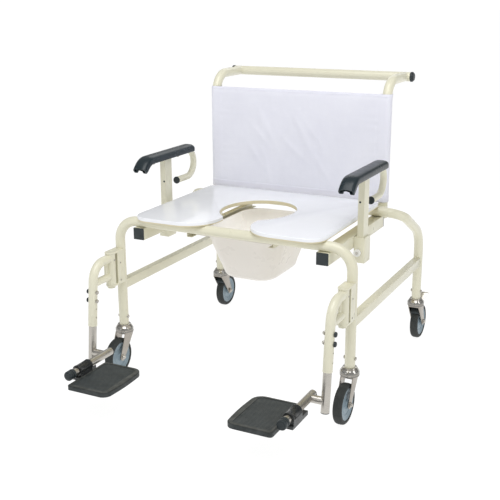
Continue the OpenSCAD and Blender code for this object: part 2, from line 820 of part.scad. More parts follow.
front_hoop();
rear_hoop();
post_saddles();
push_bar();
end_caps();
caster_stems();
frame_bolts();
back_sling();
seat_plate();
commode_pan();
for (side = SIDES) {
    side_rail(side);
    side_brace(side);
    pan_rail(side);
    back_post(side);
    arm_socket(side);
    footrest_bracket(side);
    arm_frame(side);
    arm_pad(side);
    arm_cap(side);
    arm_latch(side);
    hanger(side);
    hanger_bolts(side);
    leg_tube(side);
    leg_caps(side);
    footplate(side);
    brake_guard(side);
    brake_pedal(side);
}
for (corner = CORNERS) {
    fork(corner);
    axle(corner);
    hub(corner);
    tyre(corner);
}
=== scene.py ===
import json
import math

import bmesh
import bpy
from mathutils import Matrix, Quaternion, Vector, noise


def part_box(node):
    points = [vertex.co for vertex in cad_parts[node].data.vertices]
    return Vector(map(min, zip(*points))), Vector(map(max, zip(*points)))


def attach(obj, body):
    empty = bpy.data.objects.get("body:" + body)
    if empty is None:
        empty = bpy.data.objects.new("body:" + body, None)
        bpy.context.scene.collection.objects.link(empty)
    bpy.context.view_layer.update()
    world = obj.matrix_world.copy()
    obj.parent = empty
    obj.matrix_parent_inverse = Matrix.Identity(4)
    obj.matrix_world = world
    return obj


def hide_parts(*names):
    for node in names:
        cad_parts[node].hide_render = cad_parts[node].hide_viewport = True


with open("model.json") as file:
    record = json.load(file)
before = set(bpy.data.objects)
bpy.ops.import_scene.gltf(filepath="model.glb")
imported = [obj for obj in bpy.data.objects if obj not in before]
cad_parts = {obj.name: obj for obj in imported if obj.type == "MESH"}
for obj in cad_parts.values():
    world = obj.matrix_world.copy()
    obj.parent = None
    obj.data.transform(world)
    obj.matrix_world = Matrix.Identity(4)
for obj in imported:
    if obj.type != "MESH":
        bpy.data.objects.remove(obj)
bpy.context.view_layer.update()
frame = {"nodes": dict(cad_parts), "record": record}

SIDES = ("left", "right")
CORNERS = ("front_left", "front_right", "rear_left", "rear_right")
MM = 0.001


# ---- Camera, light and floor ----

def aim_camera():
    """A camera in front of the sitter, to the sitter's left, a little above the push bar."""
    data = bpy.data.cameras.new("camera")
    data.lens = 63.9
    data.sensor_width = 36.0
    camera = bpy.data.objects.new("camera", data)
    camera.location = (1.2394, -2.5020, 1.2478)
    camera.rotation_mode = "QUATERNION"
    azimuth, elevation, roll = math.radians(26.80), math.radians(16.44), math.radians(-0.25)
    turn = Quaternion((0, 0, 1), azimuth) @ Quaternion((1, 0, 0), math.pi / 2 - elevation)
    camera.rotation_quaternion = turn @ Quaternion((0, 0, 1), roll)
    bpy.context.scene.collection.objects.link(camera)
    bpy.context.scene.camera = camera


def area_light(name, place, target, size, power, colour=(1, 1, 1)):
    data = bpy.data.lights.new(name, "AREA")
    data.shape = "RECTANGLE"
    data.size, data.size_y = size
    data.energy = power
    data.color = colour
    light = bpy.data.objects.new(name, data)
    light.location = place
    light.rotation_mode = "QUATERNION"
    light.rotation_quaternion = (Vector(target) - Vector(place)).to_track_quat("-Z", "Y")
    bpy.context.scene.collection.objects.link(light)


def light_studio():
    """A broad soft light overhead and weaker ones round the chair, in a room paler towards the top."""
    world = bpy.data.worlds.new("studio")
    bpy.context.scene.world = world
    world.use_nodes = True
    tree = world.node_tree
    background = tree.nodes["Background"]
    background.inputs["Strength"].default_value = 0.46
    place = tree.nodes.new("ShaderNodeTexCoord").outputs["Generated"]
    split = tree.nodes.new("ShaderNodeSeparateXYZ")
    tree.links.new(place, split.inputs[0])
    ramp = tree.nodes.new("ShaderNodeValToRGB")
    ends = ramp.color_ramp.elements
    ends[0].position, ends[0].color = 0.0, (0.34, 0.35, 0.36, 1)
    ends[1].position, ends[1].color = 0.75, (1.0, 1.0, 1.0, 1)
    tree.links.new(split.outputs["Z"], ramp.inputs["Fac"])
    tree.links.new(ramp.outputs["Color"], background.inputs["Color"])
    middle = (0, 0, 0.45)
    area_light("overhead", (0.3, -1.2, 3.0), middle, (2.2, 2.2), 53)
    area_light("side", (2.8, -0.4, 1.7), middle, (0.8, 2.2), 11)
    area_light("front", (-1.2, -3.6, 1.3), middle, (1.6, 1.2), 7)
    area_light("back", (-0.8, 2.8, 2.4), middle, (2.4, 1.4), 10)
    bpy.context.scene.view_settings.view_transform = "Standard"
    bpy.context.scene.view_settings.look = "None"


def lay_floor():
    """A plain pale floor with low walls at its far edges, so that no view shows past it."""
    mesh = bpy.data.meshes.new("floor")
    far, rim = 60.0, 8.0
    square = [(-far, -far), (far, -far), (far, far), (-far, far)]
    mesh.from_pydata([(x, y, z) for z in (0.0, rim) for x, y in square], [],
                     [(0, 1, 2, 3)] + [(i, (i + 1) % 4, (i + 1) % 4 + 4, i + 4) for i in range(4)])
    floor = bpy.data.objects.new("floor", mesh)
    bpy.context.scene.collection.objects.link(floor)
    mesh.materials.append(plain_floor())


# ---- Materials ----

class Nodes:
    """A material's node tree, with short calls for the nodes that this script uses."""

    def __init__(self, name):
        self.material = bpy.data.materials.new(name)
        self.material.use_nodes = True
        self.material.cycles.emission_sampling = "NONE"
        self.tree = self.material.node_tree
        self.shader = self.tree.nodes["Principled BSDF"]
        self.place = self.tree.nodes.new("ShaderNodeTexCoord").outputs["Object"]

    def add(self, kind, links=None, **settings):
        node = self.tree.nodes.new(kind)
        for key, value in settings.items():
            setattr(node, key, value)
        for socket, value in (links or {}).items():
            if isinstance(value, bpy.types.NodeSocket):
                self.tree.links.new(value, node.inputs[socket])
            else:
                node.inputs[socket].default_value = value
        return node

    def noise(self, scale, detail=4.0, rough=0.55, place=None):
        settings = {"Vector": place or self.place, "Scale": scale, "Detail": detail, "Roughness": rough}
        return self.add("ShaderNodeTexNoise", settings).outputs["Fac"]

    def stretched(self, x, y, z):
        return self.add("ShaderNodeMapping", {"Vector": self.place, "Scale": (x, y, z)}).outputs["Vector"]

    def ramp(self, value, low, high, first, second):
        node = self.add("ShaderNodeValToRGB", {"Fac": value})
        ends = node.color_ramp.elements
        ends[0].position, ends[1].position = low, high
        ends[0].color, ends[1].color = (*first, 1), (*second, 1)
        return node.outputs["Color"]

    def range(self, value, low, high, first, second):
        return self.add("ShaderNodeMapRange", {"Value": value, "From Min": low, "From Max": high,
                                               "To Min": first, "To Max": second}).outputs["Result"]

    def math(self, operation, a, b):
        return self.add("ShaderNodeMath", {0: a, 1: b}, operation=operation).outputs[0]

    def mix(self, factor, a, b):
        node = self.add("ShaderNodeMix", {"Factor": factor}, data_type="RGBA")
        for socket, value in ((6, a), (7, b)):
            if isinstance(value, bpy.types.NodeSocket):
                self.tree.links.new(value, node.inputs[socket])
            else:
                node.inputs[socket].default_value = (*value, 1)
        return node.outputs[2]

    def edges(self, low=0.52, high=0.6):
        """1 on convex edges, 0 elsewhere."""
        point = self.add("ShaderNodeNewGeometry").outputs["Pointiness"]
        return self.range(point, low, high, 0, 1)

    def bump(self, height, strength, distance=0.001):
        node = self.add("ShaderNodeBump", {"Height": height, "Strength": strength, "Distance": distance})
        self.tree.links.new(node.outputs["Normal"], self.shader.inputs["Normal"])

    def set(self, **sockets):
        for name, value in sockets.items():
            socket = self.shader.inputs[name.replace("_", " ").title().replace("Ior", "IOR")]
            if isinstance(value, bpy.types.NodeSocket):
                self.tree.links.new(value, socket)
            elif isinstance(value, tuple):
                socket.default_value = (*value, 1)
            else:
                socket.default_value = value


def frame_paint():
    """Cream powder coat: faint orange peel and slow changes of tone."""
    n = Nodes("frame_paint")
    tone = n.ramp(n.noise(5.0, 3.0), 0.35, 0.7, (0.71, 0.685, 0.53), (0.75, 0.73, 0.58))
    worn = n.math("MULTIPLY", n.edges(0.54, 0.62), n.range(n.noise(60.0), 0.5, 0.7, 0, 0.35))
    n.set(base_color=n.mix(worn, tone, (0.68, 0.65, 0.50)),
          roughness=n.range(n.noise(30.0), 0.3, 0.7, 0.27, 0.38), coat_weight=0.25, coat_roughness=0.15)
    n.bump(n.noise(900.0, 2.0), 0.05, 0.0006)
    return n.material


def moulded(name, colour, light, rough, grain=1800.0, strength=0.18, peak=0.12):
    """Moulded plastic with a fine grain, and edges rubbed a little lighter."""
    n = Nodes(name)
    rubbed = n.math("MULTIPLY", n.edges(), n.range(n.noise(45.0), 0.35, 0.7, 0.1, 0.8))
    tone = n.ramp(n.noise(14.0), 0.3, 0.75, colour, tuple(c * (1 + peak) + 0.002 for c in colour))
    n.set(base_color=n.mix(rubbed, tone, light),
          roughness=n.range(n.noise(25.0), 0.3, 0.7, rough - 0.05, rough + 0.06), specular_ior_level=0.38)
    n.bump(n.noise(grain, 3.0), strength, 0.0004)
    return n.material


def metal(name, colour, rough, spread, stretch=(1, 1, 30), bump=0.04, upright_unshaded_share=1.0):
    """Metal with drawn lines and cloudy wear. Upright faces keep only a share of their tone; the rest is
    painted shade.
    """
    n = Nodes(name)
    lines = n.noise(260.0, 3.0, 0.6, n.stretched(*stretch))
    tone = n.ramp(n.noise(22.0), 0.3, 0.75, tuple(c * 0.86 for c in colour), colour)
    facing = n.add("ShaderNodeSeparateXYZ", {"Vector": n.add("ShaderNodeNewGeometry").outputs["Normal"]})
    tilt = n.math("ABSOLUTE", facing.outputs["Z"], 0.0)
    # Painted shade: faces that stand upright are darkened towards 0.18 of the colour.
    tone = n.mix(n.range(tilt, 0.15, 0.55, 1.0 - upright_unshaded_share, 0.0), tone, tuple(c * 0.18 for c in colour))
    n.set(base_color=tone, metallic=1.0, roughness=n.range(lines, 0.3, 0.7, rough - spread, rough + spread))
    n.bump(lines, bump, 0.0003)
    return n.material


def sling_cloth(name, dark, light):
    """Plain-woven nylon: crossed threads, faint slubs and a soft sheen."""
    n = Nodes(name)
    pitch = 0.0012
    scale = 2 * math.pi / (20 * pitch)
    wave = {"Vector": n.place, "Scale": scale, "Distortion": 0.6, "Detail": 2.0, "Detail Scale": 3.0}
    across, along = (n.add("ShaderNodeTexWave", wave, bands_direction=way).outputs["Fac"] for way in "XZ")
    weave = n.math("MULTIPLY", across, along)
    slub = n.noise(90.0, 3.0, 0.6, n.stretched(0.25, 1, 1))
    tone = n.ramp(n.noise(7.0, 4.0), 0.3, 0.72, dark, light)
    shade = n.range(weave, 0.0, 0.6, 0.10, 0.0)
    tone = n.mix(shade, tone, (0.50, 0.51, 0.63))
    n.set(base_color=n.mix(n.range(slub, 0.5, 0.8, 0, 0.10), tone, (0.88, 0.88, 0.93)), roughness=0.82,
          sheen_weight=0.35, sheen_roughness=0.5)
    n.bump(n.math("ADD", weave, n.math("MULTIPLY", slub, 0.6)), 0.35, 0.0005)
    return n.material


def seat_plastic():
    n = Nodes("seat_plastic")
    tone = n.ramp(n.noise(3.0, 3.0), 0.3, 0.75, (0.84, 0.855, 0.89), (0.87, 0.88, 0.905))
    n.set(base_color=tone, roughness=n.range(n.noise(18.0), 0.3, 0.75, 0.16, 0.24), coat_weight=0.3,
          coat_roughness=0.08)
    n.bump(n.noise(260.0, 3.0), 0.03, 0.0005)
    return n.material


def pan_plastic(name, colour, painted_glow):
    """White plastic that glows by emission: painted light, brighter on the inside copy."""
    n = Nodes(name)
    tone = n.ramp(n.noise(5.0, 2.0), 0.3, 0.75, colour, tuple(c + 0.025 for c in colour))
    n.set(base_color=tone, roughness=n.range(n.noise(18.0), 0.3, 0.7, 0.26, 0.32), emission_color=tone,
          emission_strength=painted_glow)
    return n.material


def tyre_rubber():
    n = Nodes("tyre")
    dust = n.range(n.noise(38.0, 5.0), 0.5, 0.8, 0.0, 0.4)
    n.set(base_color=n.mix(dust, (0.022, 0.026, 0.025), (0.06, 0.062, 0.058)),
          roughness=n.range(n.noise(70.0), 0.3, 0.7, 0.62, 0.78))
    n.bump(n.noise(1400.0, 3.0), 0.25, 0.0004)
    return n.material


def ribbed_plastic():
    """Black plastic whose rib tops are paler than the grooves, partly as rubbing wear; the grooves' darker
    colour and weak reflection are painted shade.
    """
    n = Nodes("footplate_ribs")
    groove_z, rib_z = 0.1173, 0.1178
    height = n.add("ShaderNodeSeparateXYZ", {"Vector": n.place}).outputs["Z"]
    top = n.range(height, groove_z, rib_z, 0.0, 1.0)
    rubbed = n.math("MULTIPLY", top, n.range(n.noise(30.0), 0.3, 0.7, 0.6, 1.0))
    # Painted shade in the grooves: darker colour and almost no reflection there; the tops' paler tone is
    # partly rubbing wear.
    n.set(base_color=n.mix(rubbed, (0.003, 0.004, 0.004), (0.060, 0.072, 0.074)),
          specular_ior_level=n.range(height, groove_z, rib_z, 0.02, 0.6),
          roughness=n.range(n.noise(25.0), 0.3, 0.7, 0.40, 0.52))
    n.bump(n.noise(1600.0, 2.0), 0.1, 0.0003)
    return n.material


def plain_floor():
    n = Nodes("floor")
    tone = n.ramp(n.noise(0.8, 2.0), 0.3, 0.7, (0.14, 0.14, 0.14), (0.15, 0.15, 0.15))
    n.set(base_color=tone, roughness=0.9, specular_ior_level=0.0, emission_color=(1.0, 1.0, 1.0),
          emission_strength=0.95)
    return n.material


CREAM = frame_paint()
BLACK = moulded("black_plastic", (0.014, 0.021, 0.024), (0.07, 0.085, 0.09), 0.42)
PAD = moulded("pad_plastic", (0.009, 0.018, 0.023), (0.05, 0.068, 0.075), 0.30, 1500.0, 0.12)
PLATE = moulded("footplate_plastic", (0.012, 0.017, 0.018), (0.06, 0.068, 0.068), 0.48)
WHITE = moulded("knob_plastic", (0.78, 0.78, 0.75), (0.85, 0.85, 0.83), 0.28, 900.0, 0.05, 0.03)
HUB = moulded("hub_plastic", (0.235, 0.305, 0.35), (0.34, 0.41, 0.45), 0.38, 1200.0, 0.10)
# A tan for the seat's underside and the walls of its opening: painted shade.
SEAT_PAINTED_SHADE = moulded("seat_painted_shade", (0.64, 0.58, 0.40), (0.72, 0.67, 0.50), 0.5, 900.0, 0.1)
STEEL = metal("steel", (0.54, 0.515, 0.47), 0.28, 0.06)
# The caster heads' upright flanks are darkened by painted shade.
CHROME = metal("caster_steel", (0.62, 0.60, 0.56), 0.13, 0.05, (1, 1, 1), 0.02, 0.30)
PRESSED = metal("pressed_steel", (0.42, 0.385, 0.34), 0.30, 0.07, (1, 1, 8), 0.05)
CLOTH = sling_cloth("sling_fabric", (0.735, 0.74, 0.815), (0.78, 0.785, 0.85))
HEM = sling_cloth("sling_hem", (0.72, 0.72, 0.805), (0.765, 0.765, 0.84))
THREAD = moulded("thread", (0.74, 0.74, 0.82), (0.8, 0.8, 0.86), 0.8, 2500.0, 0.3)
GLOSS = moulded("footplate_housing", (0.012, 0.014, 0.015), (0.07, 0.075, 0.078), 0.26, 1500.0, 0.08)
RIBS = ribbed_plastic()
RUBBED = moulded("footplate_border", (0.036, 0.040, 0.037), (0.11, 0.115, 0.11), 0.45)
SEAT = seat_plastic()
# Both pan materials glow by emission, the inside one more and whiter: painted light.
PAN = pan_plastic("pan_plastic", (0.74, 0.705, 0.65), 0.07)
PAN_INSIDE_PAINTED_LIGHT = pan_plastic("pan_inside_painted_light", (0.76, 0.745, 0.72), 0.30)
RUBBER = tyre_rubber()


# ---- Mesh helpers ----

def new_piece(name, bm, material, body, smooth_angle=35.0):
    """Turns a bmesh into a piece that rides on a body."""
    bmesh.ops.recalc_face_normals(bm, faces=bm.faces)
    mesh = bpy.data.meshes.new(name)
    bm.to_mesh(mesh)
    bm.free()
    piece = bpy.data.objects.new(name, mesh)
    bpy.context.scene.collection.objects.link(piece)
    mesh.materials.append(material)
    for face in mesh.polygons:
        face.use_smooth = True
    mesh.set_sharp_from_angle(angle=math.radians(smooth_angle))
    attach(piece, body)
    return piece


def ring_faces(bm, rings, closed=True):
    """Quads between successive rings of vertices with equal counts."""
    count = len(rings[0])
    last = count if closed else count - 1
    for low, high in zip(rings, rings[1:]):
        for i in range(last):
            j = (i + 1) % count
            bm.faces.new((low[i], low[j], high[j], high[i]))


def lathe(bm, profile, centre, axis, steps=96):
    """Turns (distance along the axis, radius) points about an axis. Ends at radius 0 are closed."""
    turn = Vector((0, 0, 1)).rotation_difference(Vector(axis))
    rings = []
    for along, radius in profile:
        if radius <= 0:
            rings.append([bm.verts.new(Vector(centre) + turn @ Vector((0, 0, along)))])
            continue
        rings.append([bm.verts.new(Vector(centre) + turn @ Vector((
            radius * math.cos(2 * math.pi * k / steps), radius * math.sin(2 * math.pi * k / steps), along)))
            for k in range(steps)])
    for low, high in zip(rings, rings[1:]):
        for k in range(steps):
            j = (k + 1) % steps
            if len(low) == 1:
                bm.faces.new((low[0], high[j], high[k]))
            elif len(high) == 1:
                bm.faces.new((low[k], low[j], high[0]))
            else:
                bm.faces.new((low[k], low[j], high[j], high[k]))


def sharp_edges(bm, angle):
    return [e for e in bm.edges if len(e.link_faces) == 2 and e.calc_face_angle(0) > math.radians(angle)]


def bevel(bm, edges, width, segments=2):
    bmesh.ops.bevel(bm, geom=edges, offset=width, offset_type="OFFSET", segments=segments, profile=0.5,
                    affect="EDGES", clamp_overlap=True)


def rounded(bm, width, segments=2, angle=30.0):
    """Rounds every edge of the bmesh that is sharper than the angle."""
    bevel(bm, sharp_edges(bm, angle), width, segments)


def slab(bm, outline, low, high, axis="Z"):
    """Extrudes a flat outline between two heights along an axis."""
    place = {"Z": lambda a, b, h: (a, b, h), "Y": lambda a, b, h: (a, h, b)}[axis]
    rings = [[bm.verts.new(place(a, b, h)) for a, b in outline] for h in (low, high)]
    ring_faces(bm, rings)
    bm.faces.new(rings[0][::-1])
    bm.faces.new(rings[1])


def block(bm, low, high):
    slab(bm, [(low[0], low[1]), (high[0], low[1]), (high[0], high[1]), (low[0], high[1])], low[2], high[2])


def arc(cx, cy, radius, start, end, steps):
    """Points along an arc between two angles in degrees."""
    angles = [math.radians(start + (end - start) * k / steps) for k in range(steps + 1)]
    return [(cx + radius * math.cos(a), cy + radius * math.sin(a)) for a in angles]


def rounded_rect(x0, x1, y0, y1, radius, steps):
    """A rectangle with round corners, which has the same number of points whatever its size."""
    left, right, front, back = x0 + radius, x1 - radius, y0 + radius, y1 - radius
    corners = ((right, front, -90), (right, back, 0), (left, back, 90), (left, front, 180))
    return [point for cx, cy, start in corners for point in arc(cx, cy, radius, start, start + 90, steps)]


def copied(node):
    """A CAD node's shape as a bmesh, with the seams in its flat faces taken out."""
    bm = bmesh.new()
    bm.from_mesh(frame["nodes"][node].data)
    bmesh.ops.remove_doubles(bm, verts=bm.verts, dist=2e-6)
    bmesh.ops.dissolve_limit(bm, angle_limit=math.radians(0.5), verts=bm.verts, edges=bm.edges)
    return bm


def softened(node, name, material, width, segments=2):
    """A copy of a CAD node with its edges rounded, in the node's place."""
    bm = copied(node)
    rounded(bm, width, segments)
    piece = new_piece(name, bm, material, BODY_OF[node])
    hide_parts(node)


def middle(node):
    low, high = (Vector(corner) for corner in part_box(node))
    return (low + high) / 2


# ---- Places shared with the CAD model, in metres ----

SHIFT_Y = 0.14825        # from the middle of the legs to the model's origin
LEG_X, LEG_Y = 0.404, 0.340
POST_X, POST_Y = 0.319, 0.175 + SHIFT_Y
PIVOT_X, PIVOT_Y = 0.402, -0.404 + SHIFT_Y
LEAN = math.radians(5.92)
TRAIL, WHEEL_R = 0.043, 0.0625
ARM_X, ARM_POST_X = 0.355, 0.351
STEM_BOLT_Z = 0.193
FOOT_TUBE_X, FOOT_TUBE_Z = PIVOT_X - 0.050, 0.133
FOOT_FRONT_Y = PIVOT_Y - 0.338

BODY_OF = {node: body for body, nodes in frame["record"]["behaviour"]["bodies"].items() for node in nodes}


def sign(name):
    return 1 if "left" in name else -1


def lean_point(side, z):
    """The middle of a leaning leg tube at a height."""
    return Vector((sign(side) * PIVOT_X, PIVOT_Y - 0.0908 - (0.413 - z) * math.tan(LEAN), z))


def in_corner(corner, point):
    """A point given from a rear left caster's stem, in its place at another corner."""
    x, y, z = point
    along = 1 if corner.startswith("rear") else -1
    return Vector((sign(corner) * (LEG_X + x), along * (LEG_Y + y) + SHIFT_Y, z))


# ---- Frame ----

def finish_nodes():
    """Materials for the CAD nodes whose shape stays."""
    finishes = {"frame_paint": CREAM, "black_plastic": BLACK, "steel": STEEL, "caster_steel": PRESSED,
                "sling_fabric": CLOTH, "seat_plastic": SEAT, "pan_plastic": PAN, "pad_plastic": PAD,
                "knob_plastic": WHITE, "bolt_caps": BLACK, "footplate_plastic": PLATE, "hub_plastic": HUB,
                "tyre": RUBBER}
    slot_of = {row["node"]: row["material_slot"] for row in frame["record"]["subparts"]}
    for name, node in frame["nodes"].items():
        node.data.materials.clear()
        node.data.materials.append(finishes[slot_of[name]])


def soften_frame():
    softened("post_saddles", "saddle_blocks", CREAM, 2.0 * MM)
    softened("end_caps", "frame_end_caps", BLACK, 1.6 * MM, 3)
    for side in SIDES:
        softened(f"side_rail_{side}", f"rail_{side}", CREAM, 1.8 * MM, 3)
        softened(f"side_brace_{side}", f"brace_{side}", CREAM, 2.0 * MM, 3)
        softened(f"pan_rail_{side}", f"pan_channel_{side}", CREAM, 0.7 * MM)
        softened(f"arm_socket_{side}", f"socket_{side}", CREAM, 1.6 * MM)
        softened(f"footrest_bracket_{side}", f"bracket_{side}", CREAM, 1.0 * MM)


def bracket_webs():
    """The web between each footrest bracket's cheeks, behind the turning sleeve, and the cheeks' rivets."""
    webs, rivets = bmesh.new(), bmesh.new()
    for side in SIDES:
        x = sign(side) * PIVOT_X
        block(webs, (x - 0.0138, PIVOT_Y + 0.0198, 0.3255), (x + 0.0138, PIVOT_Y + 0.0455, 0.4275))
        for z in (0.391, 0.332):
            for way in (-1, 1):
                lathe(rivets, [(0, 0), (0, 0.0028), (0.0010, 0.0028), (0.0010, 0.0013), (-0.0010, 0.0012),
                               (-0.0010, 0)], (x + way * 0.0169, PIVOT_Y + 0.032, z), (way, 0, 0), 20)
    rounded(webs, 1.0 * MM)
    new_piece("bracket_webs", webs, CREAM, "root")
    new_piece("bracket_rivets", rivets, STEEL, "root")


def frame_bolt_heads():
    """Domed heads on both ends of the bolts that hold the caster stems."""
    bm = bmesh.new()
    dome = [(0, 0.0052), (0.0012, 0.0058), (0.0026, 0.0054), (0.0038, 0.0040), (0.0045, 0.0018), (0.0047, 0)]
    shank = [(-0.004, 0), (-0.004, 0.0028)]
    for corner in CORNERS:
        for out in (-1, 1):
            centre = in_corner(corner, (out * 0.0162, 0, STEM_BOLT_Z))
            lathe(bm, shank + dome, centre, (out * sign(corner), 0, 0), 32)
    piece = new_piece("stem_bolt_heads", bm, STEEL, "root")
    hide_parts("frame_bolts")


def weld_bead(bm, points, radius):
    """A closed rippled bead along a ring of points."""
    count = len(points)
    rings = []
    for i, point in enumerate(points):
        ahead = (points[(i + 1) % count] - points[i - 1]).normalized()
        side = ahead.orthogonal().normalized()
        up = ahead.cross(side)
        size = radius * (1 + 0.18 * math.sin(i * 1.9) + 0.12 * noise.noise(point * 400))
        rings.append([bm.verts.new(point + size * (math.cos(a) * side + math.sin(a) * up))
                      for a in (2 * math.pi * k / 6 for k in range(6))])
    for i in range(count):
        low, high = rings[i], rings[(i + 1) % count]
        shift = min(range(6), key=lambda k: (high[k].co - low[0].co).length)
        for k in range(6):
            bm.faces.new((low[k], low[(k + 1) % 6], high[(k + 1 + shift) % 6], high[(k + shift) % 6]))


def weld_frame():
    """Beads where the braces meet the legs."""
    bm = bmesh.new()
    radius = 0.0160
    for side in SIDES:
        for y, back in ((-LEG_Y + SHIFT_Y, 1), (LEG_Y + SHIFT_Y, -1)):
            centre = Vector((sign(side) * LEG_X, y, 0.306))
            outline = rounded_rect(-0.0128, 0.0128, -0.0153, 0.0153, 0.003, 3)
            ring = []
            for (x0, z0), (x1, z1) in zip(outline, outline[1:] + outline[:1]):
                steps = max(1, round(math.hypot(x1 - x0, z1 - z0) / 0.0016))
                for k in range(steps):
                    x = x0 + (x1 - x0) * k / steps
                    z = z0 + (z1 - z0) * k / steps
                    ring.append(centre + Vector((x, back * math.sqrt(radius ** 2 - x ** 2), z)))
            weld_bead(bm, ring, 0.0011)
    new_piece("frame_welds", bm, CREAM, "root", 60)


# ---- Backrest ----

SLING_Z = (0.552, 0.912)
WRAP_R = 0.0172
SHEET_T = 0.0009
CLOTH_Y = POST_Y - WRAP_R        # the fabric's plane between the posts


def sling_path():
    """Half of the fabric's path from above: from the middle of the front out and round the left post."""
    points = [(POST_X * k / 72, CLOTH_Y) for k in range(72)]
    points += [(POST_X + WRAP_R * math.sin(a), POST_Y - WRAP_R * math.cos(a))
               for a in (math.radians(5 * k) for k in range(51))]
    start = points[-1]
    end = (POST_X - 0.030, CLOTH_Y + 0.0018)
    points += [(start[0] + (end[0] - start[0]) * t, start[1] + (end[1] - start[1]) * (1 - (1 - t) ** 2))
               for t in (0.2, 0.4, 0.6, 0.8, 1.0)]
    points += [(end[0] - 0.004 * k, end[1]) for k in range(1, 4)]
    return points


def fold_depth(x, z):
    """How far the fabric between the posts stands out of its plane: a slow sag and slanting creases."""
    across = x / (POST_X - 0.02)
    if abs(across) >= 1:
        return 0.0
    hold = (1 - across ** 2) ** 0.6
    height = (z - SLING_Z[0]) / (SLING_Z[1] - SLING_Z[0])
    sag = 0.0035 * hold * (0.4 + 0.6 * math.sin(math.pi * height))
    crease = 0.0
    for k in range(9):
        seed = Vector((k * 7.31, k * 3.17, 0.5))
        mid_x = 0.34 * noise.noise(seed) - (0.14 if k % 3 else -0.08)
        mid_z = SLING_Z[0] + 0.18 + 0.26 * noise.noise(seed + Vector((4, 1, 9)))
        slant = math.radians(52 + 30 * noise.noise(seed + Vector((8, 8, 2))))
        along = (x - mid_x) * math.cos(slant) - (z - mid_z) * math.sin(slant)
        over = (x - mid_x) * math.sin(slant) + (z - mid_z) * math.cos(slant)
        crease += 0.0016 * math.exp(-(over / 0.011) ** 2 - (along / 0.075) ** 2)
    ripple = (0.0012 * noise.noise(Vector((x * 16, z * 9, 3.3)))
              + 0.0007 * noise.noise(Vector((x * 55, z * 30, 8.1))))
    pull = 0.0006 * math.sin(z * 190 + 6 * noise.noise(Vector((z * 12, 0, 2)))) * abs(across) ** 6
    return sag + hold * (ripple - crease) + hold ** 0.3 * pull


def lean_back(z):
    """How far the posts have bent back at a height."""
    above = max(0.0, z - 0.889)
    return 0.064 - math.sqrt(0.064 ** 2 - above ** 2)


def stitch_row(bm, points, outward, length=0.0030, gap=0.0014, thick=0.00035):
    """Short thread stitches along a line of points on the fabric."""
    walked = 0.0
    for a, b in zip(points, points[1:]):
        span = (b - a).length
        while walked < span:
            start = a.lerp(b, walked / span)
            end = a.lerp(b, min(1.0, (walked + length) / span))
            along = end - start
            if along.length > length * 0.5:
                side = along.normalized().cross(outward) * thick
                lift = outward * thick
                ring = [(start, 0.0), (start.lerp(end, 0.5), 1.4), (end, 0.0)]
                rows = [[bm.verts.new(p + side + lift * up), bm.verts.new(p + lift * (up + 0.8)),
                         bm.verts.new(p - side + lift * up), bm.verts.new(p - lift * 0.6)] for p, up in ring]
                ring_faces(bm, rows)
                bm.faces.new(rows[0][::-1])
                bm.faces.new(rows[-1])
            walked += length + gap
        walked -= span


def sling_sheet(path):
    """The woven sheet, with its thickness, along a path seen from above."""
    rows = 84
    bm = bmesh.new()
    grid = []
    for r in range(rows + 1):
        z = SLING_Z[0] + (SLING_Z[1] - SLING_Z[0]) * r / rows
        ring = []
        for x, y in path:
            depth = fold_depth(x, z) if y < CLOTH_Y + 0.003 else 0.0
            edge = 0.0012 * math.sin(x * 38 + 1.0) * (1 - min(1, r / 6)) if y < CLOTH_Y + 0.0005 else 0.0
            ring.append(bm.verts.new((x, y + depth + lean_back(z), z + edge)))
        grid.append(ring)
    ring_faces(bm, grid, closed=False)
    bm.normal_update()
    outward = -1 if grid[rows // 2][len(path) // 2].normal.y > 0 else 1
    outer = [[bm.verts.new(v.co + v.normal * outward * SHEET_T) for v in ring] for ring in grid]
    ring_faces(bm, outer, closed=False)
    for line in (0, -1):
        ring_faces(bm, [grid[line], outer[line]], closed=False)
        ring_faces(bm, [[ring[line] for ring in grid], [ring[line] for ring in outer]], closed=False)
    sling = new_piece("sling", bm, CLOTH, "root", 80)
    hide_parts("back_sling")
    return sling


def sling_hems(path):
    """The folded bands along the sheet's bottom and top edges."""
    bm = bmesh.new()
    bands = ((SLING_Z[0] - 0.0006, SLING_Z[0] + 0.024), (SLING_Z[1] - 0.009, SLING_Z[1] + 0.0006))
    for low, high in bands:
        levels = [(low, 0.0), (low + 0.0004, 0.8)] + [(low + (high - low) * k / 6, 1.0) for k in range(1, 6)]
        levels += [(high - 0.0004, 0.8), (high, 0.0), (high - 0.0006, -0.3), (low + 0.0006, -0.3)]
        rings = []
        for x, y in path[9:-9]:
            away = Vector((0, -1 if y < POST_Y else 1))
            if abs(x) > POST_X:
                away = Vector((x - math.copysign(POST_X, x), y - POST_Y)).normalized()
            ring = []
            for z, out in levels:
                inside = min(max(z, SLING_Z[0]), SLING_Z[1])
                depth = fold_depth(x, inside) if y < CLOTH_Y + 0.001 else 0.0
                lift = SHEET_T + 0.0006 * out
                ring.append(bm.verts.new((x + away.x * lift, y + away.y * lift + depth + lean_back(z), z)))
            rings.append(ring)
        ring_faces(bm, rings)
        bm.faces.new(rings[0][::-1])
        bm.faces.new(rings[-1])
    return new_piece("sling_hems", bm, HEM, "root", 60)


